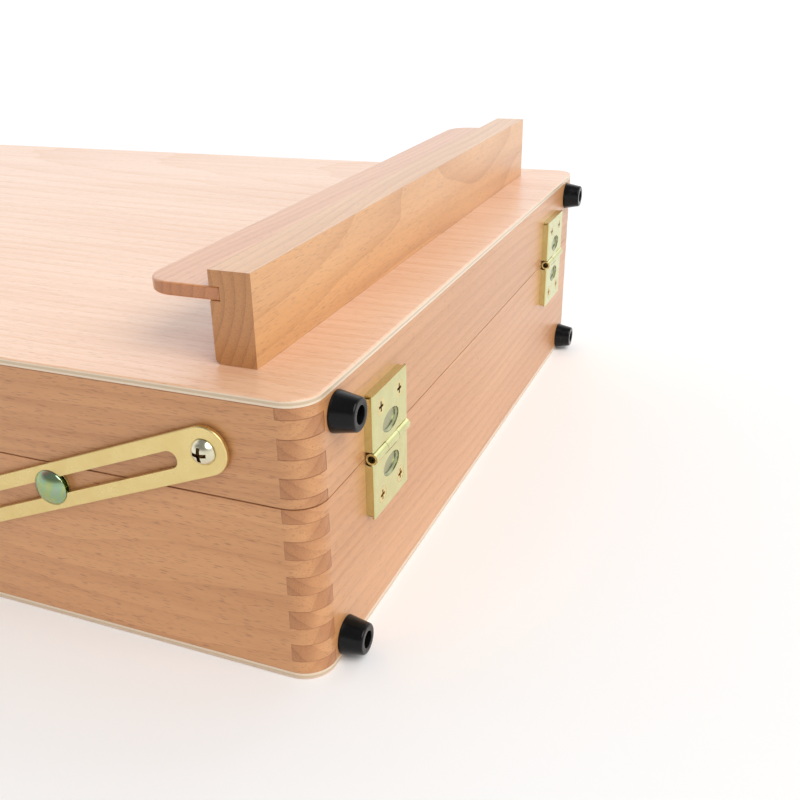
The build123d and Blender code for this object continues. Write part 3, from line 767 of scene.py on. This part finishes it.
# stays, hooks, feet and handle
pairedEdges = {
    "stay": 0.0001,
    "stay_pivot_washer": 0.0001,
    "stay_bolt": 0.00015,
    "stay_bolt_washer": 0.0001,
    "stay_stud": 0.0002,
    "wing_nut": 0.0005,
    "wing_nut_washer": 0.0001,
    "hook": 0.00025,
    "handle_bracket": 0.0003,
    "case_foot": 0.0003,
    "lid_foot": 0.0003,
}
crossHeadEdges = {"stay_pivot_screw": 0.00015, "hook_pin_screw": 0.00015, "hook_pivot_screw": 0.00015}
singleEdges = {
    "case_foot_screws": 0.0001,
    "lid_foot_screws": 0.0001,
    "ledge_screws": 0.0001,
    "handle_bracket_screws": 0.0001,
    "handle_wire": 0.0001,
}
for side in ("left", "right"):
    for stem, edge in pairedEdges.items():
        node = f"{stem}_{side}"
        piece = easedPiece(node, edge)
        piece.data.materials.append(fittingMaterials["stay" if stem == "stay" else slotOf[node]])
    for stem, edge in crossHeadEdges.items():
        node = f"{stem}_{side}"
        piece = easedPiece(node, edge, paintedShade=insideDomedCross(node))
        piece.data.materials.append(fittingMaterials["chrome"])
for node, edge in singleEdges.items():
    easedPiece(node, edge).data.materials.append(fittingMaterials[slotOf[node]])

grip = {"edge": 0.0006, "edgeSegments": 3, "seed": 16, "tint": (0.85, 0.72, 0.6)}
piece = easedPiece("handle_grip", grip["edge"], segments=grip["edgeSegments"])
finishWood(piece, woodMaterial("beech_grip", False, grip["seed"], grip["tint"]), 0)
print("fittings ready")

# floor, light and camera
studio = {
    "floor": (0.95, 0.95, 0.95),
    "floorSize": 14.0,
    "floorRoughness": 0.7,
    "sunFrom": (-0.25, -0.6, 0.76),
    "sunSpread": 48,  # degrees: a large soft lamp
    "sunStrength": 1.95,
    "horizon": 0.95,
    "zenith": 0.28,
    "darkRise": (0.52, 0.85),  # heights on the sky where it starts and ends growing dark
    "sideDarkRise": (0.12, 0.45),  # the same on the stay's side, so that round heads have a dark upper half
    "sideReach": (0.05, 0.55),
    "glow": 0.6,  # a broad lamp low on the far side, for the sheen on the lid
    "glowRise": (0.14, 0.4),
    "glowReach": (0.2, 0.8),
    "glowTurn": 0.5,
}
floorMesh = bpy.data.meshes.new("floor")
work = bmesh.new()
bmesh.ops.create_grid(work, x_segments=1, y_segments=1, size=studio["floorSize"])
work.to_mesh(floorMesh)
work.free()
floor = bpy.data.objects.new("floor", floorMesh)
bpy.context.scene.collection.objects.link(floor)
floorMaterial, floorTree, floorShader = startMaterial("paleFloor")
floorShader.inputs["Base Color"].default_value = (*studio["floor"], 1)
floorShader.inputs["Roughness"].default_value = studio["floorRoughness"]
floor.data.materials.append(floorMaterial)

sunData = bpy.data.lights.new("sun", "SUN")
sunData.energy = studio["sunStrength"]
sunData.angle = math.radians(studio["sunSpread"])
sun = bpy.data.objects.new("sun", sunData)
sun.rotation_euler = Vector(studio["sunFrom"]).to_track_quat("Z", "Y").to_euler()
bpy.context.scene.collection.objects.link(sun)


def lightSky(world):
    # one white sky whose strength changes with direction: X and Z are the direction looked at
    world.use_nodes = True
    tree = world.node_tree
    direction = splitAxes(tree, tree.nodes.new("ShaderNodeTexCoord").outputs["Generated"])
    towardSide = band(tree, times(tree, direction["X"], -1), studio["sideReach"])
    sideDark = times(tree, band(tree, direction["Z"], studio["sideDarkRise"]), towardSide)
    dark = mathNode(tree, "MAXIMUM", band(tree, direction["Z"], studio["darkRise"]), sideDark)
    fall = studio["zenith"] - studio["horizon"]
    strength = mathNode(tree, "MULTIPLY_ADD", dark, fall, studio["horizon"])
    farSide = plus(tree, direction["X"], times(tree, direction["Y"], studio["glowTurn"]))
    glowHeight = band(tree, direction["Z"], studio["glowRise"])
    glow = times(tree, band(tree, farSide, studio["glowReach"]), glowHeight)
    strength = mathNode(tree, "MULTIPLY_ADD", glow, studio["glow"], strength)
    background = tree.nodes["Background"]
    background.inputs["Color"].default_value = (1, 1, 1, 1)
    tree.links.new(strength, background.inputs["Strength"])


bpy.context.scene.world = bpy.data.worlds.new("studio")
lightSky(bpy.context.scene.world)

view = {
    "place": (-0.38816, -0.32909, 0.20882),
    "target": (-0.08499, -0.18646, 0.05),
    "roll": -2.26,
    "lens": 43.82,
    "sensor": 36,
    "shift": (0.0688, 0.0313),
    "nearest": 0.01,
}
cameraData = bpy.data.cameras.new("camera")
cameraData.lens = view["lens"]
cameraData.sensor_width = view["sensor"]
cameraData.shift_x, cameraData.shift_y = view["shift"]
cameraData.clip_start = view["nearest"]
camera = bpy.data.objects.new("camera", cameraData)
look = (Vector(view["target"]) - Vector(view["place"])).to_track_quat("-Z", "Y").to_matrix().to_4x4()
roll = Matrix.Rotation(math.radians(view["roll"]), 4, "Z")
camera.matrix_world = Matrix.Translation(view["place"]) @ look @ roll
bpy.context.scene.collection.objects.link(camera)
bpy.context.scene.camera = camera
bpy.context.scene.view_settings.view_transform = "Standard"
print("studio ready")
